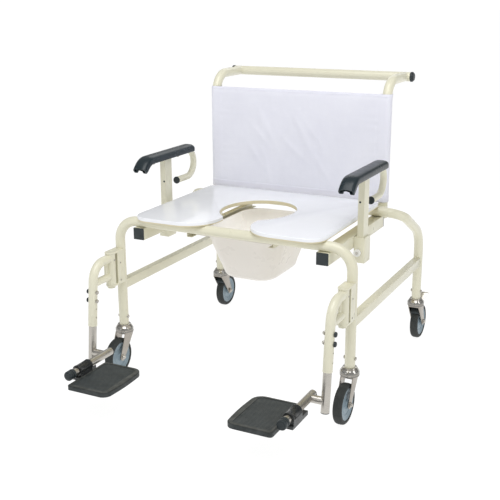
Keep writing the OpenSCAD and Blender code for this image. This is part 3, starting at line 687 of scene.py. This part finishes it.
def sling_seams():
    """Stitches along both hems and two rows beside each post."""
    bm = bmesh.new()
    ahead = Vector((0, -1, 0))
    for z in (SLING_Z[0] + 0.0215, SLING_Z[1] - 0.0070):
        line = [Vector((x, CLOTH_Y + fold_depth(x, z) + lean_back(z) - SHEET_T - 0.0006, z))
                for x in (-POST_X + k * POST_X / 90 for k in range(181))]
        stitch_row(bm, line, ahead)
    for side in (-1, 1):
        for inset in (0.0255, 0.0305):
            x = side * (POST_X - inset)
            line = [Vector((x, CLOTH_Y + fold_depth(x, z) + lean_back(z) - SHEET_T, z))
                    for z in (SLING_Z[0] + 0.003 + k * 0.005 for k in range(71))]
            stitch_row(bm, line, ahead)
    return new_piece("sling_stitches", bm, THREAD, "root", 60)


def make_sling():
    """The backrest fabric: a sheet sewn into a sleeve round each post, with its hems and seams."""
    half = sling_path()
    path = [(-x, y) for x, y in half[:0:-1]] + half
    sling = sling_sheet(path)
    hems = sling_hems(path)
    stitches = sling_seams()


# ---- Seat and pan ----

def make_seat():
    """The seat's copy with rounded edges, a gloss top, and a tan band of painted shade along its bottom and
    round the opening.
    """
    bm = copied("seat_plate")
    low, high = (Vector(corner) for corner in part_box("seat_plate"))
    bevel(bm, [e for e in sharp_edges(bm, 45) if min(v.co.z for v in e.verts) > high.z - 1e-5], 2.6 * MM, 4)
    bevel(bm, [e for e in sharp_edges(bm, 45) if max(v.co.z for v in e.verts) < low.z + 1e-5], 1.0 * MM)
    shade_z = low.z + 3.6 * MM
    bmesh.ops.bisect_plane(bm, geom=bm.verts[:] + bm.edges[:] + bm.faces[:], plane_co=(0, 0, shade_z),
                           plane_no=(0, 0, 1))
    middle_y = -0.130 + SHIFT_Y

    def in_painted_shade(face):
        """The faces painted tan as shade: all round the opening, and only along the bottom elsewhere."""
        at = face.calc_center_median()
        in_opening = abs(at.x) < 0.125 and middle_y - 0.06 < at.y < middle_y + 0.145
        return at.z < (high.z - 2.4 * MM if in_opening else shade_z)

    shaded_faces = [in_painted_shade(face) for face in bm.faces]
    seat = new_piece("seat", bm, SEAT, "seat", 30)
    seat.data.materials.append(SEAT_PAINTED_SHADE)
    for face, is_shaded in zip(seat.data.polygons, shaded_faces):
        face.material_index = 1 if is_shaded else 0
    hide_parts("seat_plate")


BASE_R = 0.024


def make_pan():
    """The pan: a drawn bowl with a rolled lip and a flange that slides in the channels."""
    centre = Vector((0, middle("commode_pan").y, 0))
    low, high = (corner[2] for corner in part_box("commode_pan"))
    base, top = (0.087, 0.112, 0.062), (0.1318, 0.183, 0.077)

    def wall(height, inset):
        """The bowl's section at a share of its height, drawn in by the inset."""
        full = height ** 0.80
        size = [b + (t - b) * full for b, t in zip(base, top)]
        return [size[0] - inset, size[1] - inset, max(size[2] - inset, 0.012)]

    rise = high - low
    profile = [(0.050, 0.073, 0.036, low + 0.0006), (0.062, 0.087, 0.046, low)]
    for turn in (20, 40, 60, 80):
        a = math.radians(turn)
        x, y, r = wall(BASE_R / rise, BASE_R * (1 - math.sin(a)))
        profile.append((x, y, r, low + BASE_R * (1 - math.cos(a))))
    for k in range(1, 15):
        height = (BASE_R + (rise - 0.012 - BASE_R) * k / 14) / rise
        profile.append((*wall(height, 0), low + height * rise))
    flange_z = high - 0.0103
    profile += [(0.1445, 0.195, 0.030, flange_z + 0.0002), (0.1466, 0.1971, 0.030, flange_z + 0.0008),
                (0.1470, 0.1975, 0.030, flange_z + 0.0016), (0.1466, 0.1971, 0.030, flange_z + 0.0025),
                (0.1450, 0.1955, 0.030, flange_z + 0.0030), (0.1350, 0.1850, 0.060, flange_z + 0.0032),
                (0.1326, 0.1826, 0.074, flange_z + 0.0050), (0.1322, 0.1822, 0.075, high - 0.0020),
                (0.1314, 0.1814, 0.075, high - 0.0004), (0.1296, 0.1796, 0.074, high),
                (0.1280, 0.1780, 0.073, high - 0.0006)]
    for k in range(14, 0, -1):
        height = (0.022 + (rise - 0.004 - 0.022) * k / 14) / rise
        profile.append((*wall(height, 0.003), low + height * rise))
    for turn in (80, 60, 40, 20):
        a = math.radians(turn)
        x, y, r = wall(0.022 / rise, 0.003 + 0.019 * (1 - math.sin(a)))
        profile.append((x, y, r, low + 0.003 + 0.019 * (1 - math.cos(a))))
    profile.append((0.050, 0.073, 0.034, low + 0.0032))
    bm = bmesh.new()
    rings = [[bm.verts.new(Vector((x, y, z)) + centre) for x, y in rounded_rect(-w, w, -d, d, radius, 14)]
             for w, d, radius, z in profile]
    ring_faces(bm, rings)
    bm.faces.new(rings[0][::-1])
    bm.faces.new(rings[-1])
    pan = new_piece("pan", bm, PAN, "pan", 50)
    # The bowl's inside walls and floor take the brighter glowing copy: painted light.
    pan.data.materials.append(PAN_INSIDE_PAINTED_LIGHT)
    for face in pan.data.polygons:
        away = face.center - Vector((centre.x, centre.y, face.center.z))
        upward = face.normal.z > 0.8 and face.center.z < low + 0.02
        inward = away.dot(face.normal) < -0.001 and abs(face.normal.z) < 0.9
        face.material_index = 1 if upward or inward else 0
    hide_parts("commode_pan")


# ---- Arms ----

def catmull_rom(p, q, r, s, t):
    """The curve through q and r, at a share of the way between them."""
    return 0.5 * (2 * q + (r - p) * t + (2 * p - 5 * q + 4 * r - s) * t * t
                  + (3 * q - p - 3 * r + s) * t ** 3)


def smooth_stations(rows, steps):
    """Rows of numbers with smooth steps put in between them."""
    out = []
    for i in range(len(rows) - 1):
        before, a, b, after = rows[max(i - 1, 0)], rows[i], rows[i + 1], rows[min(i + 2, len(rows) - 1)]
        for k in range(steps):
            out.append([catmull_rom(*four, k / steps) for four in zip(before, a, b, after)])
    out.append(rows[-1])
    return out


def pad_section(half_w, height):
    """The pad's section as (across, up) points: a crowned top, steep sides and a channel under it."""
    n = 2.7
    shoulder = 0.42
    outer = []
    for k in range(29):
        a = math.pi * k / 28
        outer.append((half_w * math.copysign(abs(math.cos(a)) ** (2 / n), math.cos(a)),
                      height * (shoulder + (1 - shoulder) * math.sin(a) ** (2 / n))))
    slot_w, slot_h = 0.0118, 0.66 * height
    under = [(-half_w * 0.995, 0.10 * height), (-half_w + 0.0012, 0.02 * height), (-half_w + 0.003, 0),
             (-slot_w - 0.001, 0), (-slot_w, 0.04 * height), (-slot_w, 0.46 * height),
             (-slot_w * 0.7, 0.6 * height), (0, slot_h), (slot_w * 0.7, 0.6 * height),
             (slot_w, 0.46 * height), (slot_w, 0.04 * height), (slot_w + 0.001, 0), (half_w - 0.003, 0),
             (half_w - 0.0012, 0.02 * height), (half_w * 0.995, 0.10 * height)]
    return outer + under


def make_arm_pad(side):
    """Rows are the top point's (y, z), the bottom point's (y, z) and the half width, from back to front."""
    rows = [(34.0, 711, 34.0, 700, 21.5), (33.2, 716.5, 33.4, 697.8, 23.4), (30, 720.2, 30.5, 697, 24.5),
            (22, 722, 22, 697, 25), (-20, 722, -20, 697, 25), (-90, 722, -90, 697, 25),
            (-160, 722, -160, 697, 25), (-215, 722, -215, 697, 25), (-238, 721.2, -236, 696.8, 25),
            (-253, 717.5, -246, 694.0, 25), (-267, 710, -256, 688.5, 25), (-278, 701, -264, 681, 25),
            (-285, 693.5, -271, 675.5, 24.9), (-289.5, 688, -276.5, 671.8, 24.6)]
    bm = bmesh.new()
    rings = []
    centre_x = sign(side) * (ARM_X + 0.001)
    for top_y, top_z, low_y, low_z, half_w in smooth_stations(rows, 5):
        low = Vector((0, low_y * MM + SHIFT_Y, low_z * MM))
        up = Vector((0, top_y * MM + SHIFT_Y, top_z * MM)) - low
        height = up.length
        up.normalize()
        rings.append([bm.verts.new(low + up * v + Vector((centre_x + u, 0, 0)))
                      for u, v in pad_section(half_w * MM, height)])
    tip = sum((v.co for v in rings[-1]), Vector()) / len(rings[-1])
    inward = Vector((0, 0.0045, 0.0035))
    end = rings[-1]
    for scale, depth in ((0.86, 0.0), (0.80, 0.2), (0.78, 1.0)):
        rings.append([bm.verts.new(tip + (v.co - tip) * scale + inward * depth) for v in end])
    ring_faces(bm, rings)
    bm.faces.new(rings[0][::-1])
    bm.faces.new(rings[-1])
    ends = [e for e in bm.edges if len(e.link_faces) == 2 and any(len(f.verts) > 4 for f in e.link_faces)
            and e.verts[0].co.y > SHIFT_Y]
    bevel(bm, ends, 1.0 * MM)
    pad = new_piece(f"armrest_{side}", bm, PAD, f"arm_{side}", 42)
    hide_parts(f"arm_pad_{side}")

    screws = bmesh.new()
    for y in (-0.200, -0.045):
        place = Vector((sign(side) * (ARM_X + 0.001), y + SHIFT_Y, 0.6915))
        head = [(-0.003, 0), (-0.003, 0.0022), (0, 0.0022), (0, 0.0062), (0.0008, 0.0064), (0.0012, 0.0046),
                (0.0024, 0.0044), (0.0036, 0.0032), (0.0040, 0.0012), (0.0040, 0)]
        lathe(screws, head, place, (0, 0, -1), 24)
    new_piece(f"armrest_screws_{side}", screws, STEEL, f"arm_{side}")


def make_arm_details(side):
    """The plug in the loop's end, a black ring that darkens the post's hole as painted shade, and the pull
    knob with its pin.
    """
    plug = bmesh.new()
    end = Vector((sign(side) * ARM_X, -0.056 + SHIFT_Y, 0.608))
    lathe(plug, [(-0.012, 0), (-0.012, 0.0085), (0, 0.0090), (0, 0.0118), (0.0008, 0.0124), (0.0036, 0.0124),
                 (0.0050, 0.0116), (0.0058, 0.0094), (0.0060, 0.006), (0.0060, 0)], end, (0, -1, 0), 48)
    piece = new_piece(f"loop_plug_{side}", plug, BLACK, f"arm_{side}")
    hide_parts(f"arm_cap_{side}")

    # Painted shade: a black ring set in the post's hole to darken it.
    shade_ring = bmesh.new()
    hole = Vector((sign(side) * ARM_POST_X, -0.1455 + SHIFT_Y, 0.620))
    lathe(shade_ring, [(-0.0014, 0), (-0.0014, 0.0034), (-0.0002, 0.0034), (-0.0002, 0.0029), (-0.0009, 0.0027),
                  (-0.0009, 0)], hole, (0, -1, 0), 32)
    new_piece(f"post_hole_shade_ring_{side}", shade_ring, BLACK, f"arm_{side}")

    knob = bmesh.new()
    place = Vector((sign(side) * ARM_POST_X, -0.1502 + SHIFT_Y, 0.462))
    lathe(knob, [(0, 0), (0, 0.0092), (0.0006, 0.0100), (0.0035, 0.0103), (0.0050, 0.0108), (0.0062, 0.0115),
                 (0.0110, 0.0115), (0.0124, 0.0110), (0.0130, 0.0098), (0.0126, 0.0070), (0.0120, 0.0050),
                 (0.0120, 0)], place, (0, -1, 0), 64)
    piece = new_piece(f"knob_{side}", knob, WHITE, f"latch_{side}")
    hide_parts(f"arm_latch_{side}")
    pin = bmesh.new()
    lathe(pin, [(-0.0038, 0), (-0.0038, 0.0024), (-0.0030, 0.0030), (0.0, 0.0030)], place, (0, -1, 0), 32)
    lathe(pin, [(0.0118, 0), (0.0118, 0.0042), (0.0142, 0.0042), (0.0149, 0.0035), (0.0150, 0.0015),
                (0.0143, 0.0)], place, (0, -1, 0), 32)
    new_piece(f"latch_pin_{side}", pin, STEEL, f"latch_{side}")


# ---- Footrests ----

def make_hanger_bolts(side):
    """Bolts through the hanger: round black caps outside, nuts on washers inside."""
    out = sign(side)
    caps, nuts = bmesh.new(), bmesh.new()
    for z in (0.328, 0.300):
        place = lean_point(side, z)
        cap_at = place + Vector((out * 0.0146, 0, 0))
        lathe(caps, [(0, 0), (0, 0.0070), (0.0005, 0.0078), (0.0025, 0.0080), (0.0045, 0.0078),
                     (0.0060, 0.0066), (0.0068, 0.0046), (0.0070, 0.0020), (0.0070, 0)],
              cap_at, (out, 0, 0), 40)
        nut_at = place - Vector((out * 0.0144, 0, 0))
        lathe(nuts, [(0, 0), (0, 0.0066), (0.0011, 0.0066), (0.0011, 0.0040), (0.0014, 0)], nut_at,
              (-out, 0, 0), 32)
        lathe(nuts, [(0.0010, 0), (0.0010, 0.0052), (0.0016, 0.0058), (0.0046, 0.0058), (0.0054, 0.0050),
                     (0.0055, 0.0034), (0.0068, 0.0030), (0.0070, 0)], nut_at, (-out, 0, 0), 6)
        lathe(nuts, [(-0.0145, 0), (-0.0145, 0.0029), (0.0145, 0.0029), (0.0145, 0)], place, (1, 0, 0), 24)
    pivot = Vector((out * PIVOT_X, PIVOT_Y, 0.408))
    for way in (-1, 1):
        lathe(nuts, [(0, 0), (0, 0.0028), (0.0016, 0.0028), (0.0018, 0.0020), (0.0018, 0)],
              pivot + Vector((way * 0.0162, 0, 0)), (way, 0, 0), 24)
    caps = new_piece(f"bolt_caps_{side}", caps, BLACK, f"hanger_{side}")
    new_piece(f"bolt_nuts_{side}", nuts, STEEL, f"hanger_{side}")
    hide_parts(f"hanger_bolts_{side}")


def make_leg_plugs(side):
    """The plug of the leg tube and the stepped cap on the footplate's tube."""
    bm = bmesh.new()
    down = Vector((0, -math.sin(LEAN), -math.cos(LEAN)))
    lathe(bm, [(-0.010, 0), (-0.010, 0.0108), (0, 0.0110), (0, 0.0126), (0.0016, 0.0127), (0.0026, 0.0120),
               (0.0030, 0.0100), (0.0030, 0)], lean_point(side, 0.099), down, 48)
    cap_at = Vector((sign(side) * FOOT_TUBE_X, FOOT_FRONT_Y + 0.052, FOOT_TUBE_Z))
    lathe(bm, [(0, 0.0127), (0, 0.0146), (0.0010, 0.0150), (0.0085, 0.0150), (0.0095, 0.0143),
               (0.0098, 0.0136), (0.0115, 0.0136), (0.0118, 0.0145), (0.0130, 0.0150), (0.0230, 0.0148),
               (0.0250, 0.0138), (0.0256, 0.0118), (0.0262, 0.0102), (0.0278, 0.0096), (0.0280, 0.0085),
               (0.0280, 0)], cap_at, (0, -1, 0), 56)
    piece = new_piece(f"tube_plugs_{side}", bm, BLACK, f"leg_{side}")
    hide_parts(f"leg_caps_{side}")


def ribbed_top(bm, x0, x1, y0, y1, z, count, height):
    """Fine ribs along X, side by side between y0 and y1, as one strip with closed ends."""
    pitch = (y1 - y0) / count
    shape = ((0.0, 0.0), (0.16, 0.0), (0.30, 0.85), (0.38, 1.0), (0.62, 1.0), (0.70, 0.85), (0.84, 0.0))
    line = [(y0 + pitch * (i + t), z + height * h) for i in range(count) for t, h in shape] + [(y1, z)]
    rows = [[bm.verts.new((x, y, h)) for y, h in line] for x in (x0, x1)]
    ring_faces(bm, rows, closed=False)
    for row, x in zip(rows, (x0, x1)):
        floor = [bm.verts.new((x, y, z - 0.0008)) for y, _ in line]
        for i in range(len(line) - 1):
            bm.faces.new((row[i], row[i + 1], floor[i + 1], floor[i]))


def plate_outline(x0, x1, y0, y1, inset):
    """The plate from above: a bowed inner edge with a wide corner at the back."""
    front_r, back_r, outer_r = 0.026 - inset * 0.5, 0.034 - inset * 0.5, 0.010
    bow, steps = 0.003, 12
    x0, x1, y0, y1 = x0 + inset, x1 - inset, y0 + inset, y1 - inset
    points = arc(x1 - outer_r, y0 + outer_r, outer_r, -90, 0, 6)
    points += arc(x1 - outer_r, y1 - outer_r, outer_r, 0, 90, 6)
    points += arc(x0 + back_r, y1 - back_r, back_r, 90, 180, steps)
    span = (y1 - back_r) - (y0 + front_r)
    points += [(x0 - bow * math.sin(math.pi * t), y1 - back_r - span * t)
               for t in (k / steps for k in range(1, steps))]
    return points + arc(x0 + front_r, y0 + front_r, front_r, 180, 270, 8)


def make_footplate(side):
    """A ribbed plate with a raised border, and the housing that it turns on the tube by."""
    box = (FOOT_TUBE_X - 0.158, FOOT_TUBE_X - 0.015, FOOT_FRONT_Y, FOOT_FRONT_Y + 0.197)
    low, high = 0.105, 0.119

    plate = bmesh.new()
    slab(plate, plate_outline(*box, 0), low, high - 0.0016)
    rounded(plate, 3.2 * MM, 4)
    border = bmesh.new()
    inner = [(min(max(x, box[0] + 0.0165), box[1] - 0.0080), min(max(y, box[2] + 0.0135), box[3] - 0.0095))
             for x, y in plate_outline(*box, 0.0100)]
    levels = ((0.0030, high - 0.0022), (0.0030, high - 0.0010), (0.0036, high - 0.0002))
    rings = [[border.verts.new((x, y, z)) for x, y in plate_outline(*box, inset)] for inset, z in levels]
    rings += [[border.verts.new((x, y, z)) for x, y in inner] for z in (high - 0.0002, high - 0.0022)]
    ring_faces(border, rings + [rings[0]])
    ribs = bmesh.new()
    ribbed_top(ribs, box[0] + 0.0175, box[1] - 0.0085, box[2] + 0.0145, box[3] - 0.0105, high - 0.0019,
               count=26, height=0.8 * MM)
    housing = bmesh.new()
    back, length = FOOT_FRONT_Y + 0.072, 0.058
    arch = arc(0, FOOT_TUBE_Z, 0.0166, 0, 180, 24)
    slab(housing, [(FOOT_TUBE_X + x, z) for x, z in [(-0.0166, 0.106), (0.0170, 0.105)] + arch],
         back + 0.003, back + length - 0.003, "Y")
    lathe(housing, [(0, 0.0126), (0, 0.0168), (0.0008, 0.0174), (0.0040, 0.0175), (0.0050, 0.0168),
                    (length - 0.005, 0.0168), (length - 0.004, 0.0175), (length - 0.0008, 0.0174),
                    (length, 0.0168), (length, 0.0126)], (FOOT_TUBE_X, back, FOOT_TUBE_Z), (0, 1, 0), 64)
    wings = ((-0.0160, 0.0172, -0.006, 0.008, 0.009), (0.0150, 0.0174, 0.0, length, 0.026),
             (0.0015, 0.0172, length - 0.004, length + 0.039, 0.0125))
    for start, end, y0, y1, top in wings:
        wing = bmesh.new()
        block(wing, (FOOT_TUBE_X + start, back + y0, low), (FOOT_TUBE_X + end, back + y1, low + top))
        rounded(wing, 1.2 * MM)
        mesh = bpy.data.meshes.new("wing")
        wing.to_mesh(mesh)
        wing.free()
        housing.from_mesh(mesh)
        bpy.data.meshes.remove(mesh)
    for bm, part in ((plate, "plate"), (border, "border"), (ribs, "ribs"), (housing, "housing")):
        if side == "right":
            bmesh.ops.scale(bm, vec=(-1, 1, 1), verts=bm.verts)
        finish = {"housing": GLOSS, "border": RUBBED, "ribs": RIBS}.get(part, PLATE)
        piece = new_piece(f"foot{part}_{side}", bm, finish, f"footplate_{side}", 40)
        if part == "plate":
            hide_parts(f"footplate_{side}")


# ---- Casters ----

def corner_lathe(bm, corner, profile, centre, axis, steps):
    """A lathe in a corner's place, with its axis given from the rear left caster."""
    along = 1 if corner.startswith("rear") else -1
    turned = (axis[0] * sign(corner), axis[1] * along, axis[2])
    lathe(bm, profile, in_corner(corner, centre), turned, steps)


def round_axle(corner, along, radius, angle):
    """A point at an angle about a corner's axle."""
    return in_corner(corner, (along, TRAIL + radius * math.cos(angle), WHEEL_R + radius * math.sin(angle)))


def turn_on_axle(bm, corner, section, steps=120):
    """Turns a closed section of (along the axle, radius) points about a corner's axle."""
    rings = [[bm.verts.new(round_axle(corner, along, radius, 2 * math.pi * k / steps)) for k in range(steps)]
             for along, radius in section]
    ring_faces(bm, rings + [rings[0]])


def make_wheel(corner):
    """A tyre on a plain disc hub, and the nuts on its axle."""
    axle = (0, TRAIL, WHEEL_R)
    tread = [(-0.0120, 0.0488), (-0.0135, 0.0500), (-0.0140, 0.0520), (-0.0139, 0.0555), (-0.0130, 0.0585),
             (-0.0110, 0.0607), (-0.0080, 0.0620), (-0.0040, 0.0625), (0.0040, 0.0625), (0.0080, 0.0620),
             (0.0110, 0.0607), (0.0130, 0.0585), (0.0139, 0.0555), (0.0140, 0.0520), (0.0135, 0.0500),
             (0.0120, 0.0488)]
    bm = bmesh.new()
    turn_on_axle(bm, corner, tread)
    tyre = new_piece(f"{corner}_tread", bm, RUBBER, f"{corner}_wheel", 50)
    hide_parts(f"{corner}_tyre")

    disc = [(0.0150, 0.00405), (0.0150, 0.0125), (0.0142, 0.0135), (0.0104, 0.0145), (0.0092, 0.0165),
            (0.0088, 0.0240), (0.0090, 0.0290), (0.0078, 0.0302), (0.0078, 0.0330), (0.0092, 0.0342),
            (0.0100, 0.0410), (0.0116, 0.0436), (0.0124, 0.0450), (0.0124, 0.0478), (0.0118, 0.0490)]
    bm = bmesh.new()
    turn_on_axle(bm, corner, disc + [(-along, radius) for along, radius in reversed(disc)])
    hub = new_piece(f"{corner}_disc", bm, HUB, f"{corner}_wheel", 28)
    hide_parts(f"{corner}_hub")

    bm = bmesh.new()
    rod = [(-0.0202, 0), (-0.0202, 0.004), (0.0202, 0.004), (0.0202, 0)]
    corner_lathe(bm, corner, rod, axle, (1, 0, 0), 32)
    for way in (-1, 1):
        nut = [(0.0201, 0), (0.0201, 0.0092), (0.0213, 0.0092), (0.0214, 0.0076), (0.0232, 0.0078),
               (0.0246, 0.0070), (0.0262, 0.0058), (0.0276, 0.0050), (0.0281, 0.0036), (0.0281, 0)]
        corner_lathe(bm, corner, nut, axle, (way, 0, 0), 36)
    nuts = new_piece(f"{corner}_nuts", bm, STEEL, f"{corner}_caster")
    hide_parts(f"{corner}_axle")


def make_fork(corner):
    """Pressed plates, with the bright head that holds the swivel race."""
    softened(f"{corner}_fork", f"{corner}_plates", PRESSED, 0.5 * MM)
    bm = bmesh.new()
    head = [(0.1392, 0.0070), (0.1392, 0.0284), (0.1398, 0.0296), (0.1425, 0.0299), (0.1448, 0.0296),
            (0.1456, 0.0288), (0.1464, 0.0288), (0.1472, 0.0297), (0.1500, 0.0300), (0.1524, 0.0298),
            (0.1546, 0.0288), (0.1580, 0.0262), (0.1610, 0.0238), (0.1640, 0.0220), (0.1656, 0.0212),
            (0.1660, 0.0200), (0.1660, 0.0070)]
    centre = in_corner(corner, (0, 0, 0))
    steps = 96
    rings = [[bm.verts.new((centre.x + r * math.cos(a), centre.y + r * math.sin(a), z))
              for a in (2 * math.pi * k / steps for k in range(steps))] for z, r in head]
    ring_faces(bm, rings + [rings[0]])
    new_piece(f"{corner}_head", bm, CHROME, f"{corner}_caster", 30)


def make_brake(side):
    """The cover over the wheel between the fork's plates, and the pedal."""
    corner = f"rear_{side}"
    bm = bmesh.new()
    half = 0.0168
    foot = 0.0560
    outline = [(-half, foot), (-half, 0.0705), (-half + 0.0016, 0.0722), (half - 0.0016, 0.0722),
               (half, 0.0705), (half, foot), (half - 0.0018, foot), (half - 0.0018, 0.0690),
               (-half + 0.0018, 0.0690), (-half + 0.0018, foot)]
    rings = []
    for k in range(25):
        a = math.radians(93 + 46 * k / 24)
        trim = 0.004 * (abs(k - 12) / 12) ** 6
        rings.append([bm.verts.new(round_axle(corner, along, max(radius - trim, foot), a))
                      for along, radius in outline])
    ring_faces(bm, rings)
    bm.faces.new(rings[0][::-1])
    bm.faces.new(rings[-1])
    cover = new_piece(f"brake_cover_{side}", bm, BLACK, f"{corner}_caster")
    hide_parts(f"{corner}_brake_guard")
    softened(f"{corner}_brake_pedal", f"pedal_{side}", STEEL, 0.4 * MM)


aim_camera()
light_studio()
lay_floor()
finish_nodes()
soften_frame()
bracket_webs()
frame_bolt_heads()
weld_frame()
make_sling()
make_seat()
make_pan()
for side in SIDES:
    make_arm_pad(side)
    make_arm_details(side)
    make_hanger_bolts(side)
    make_leg_plugs(side)
    make_footplate(side)
    make_brake(side)
for corner in CORNERS:
    make_wheel(corner)
    make_fork(corner)
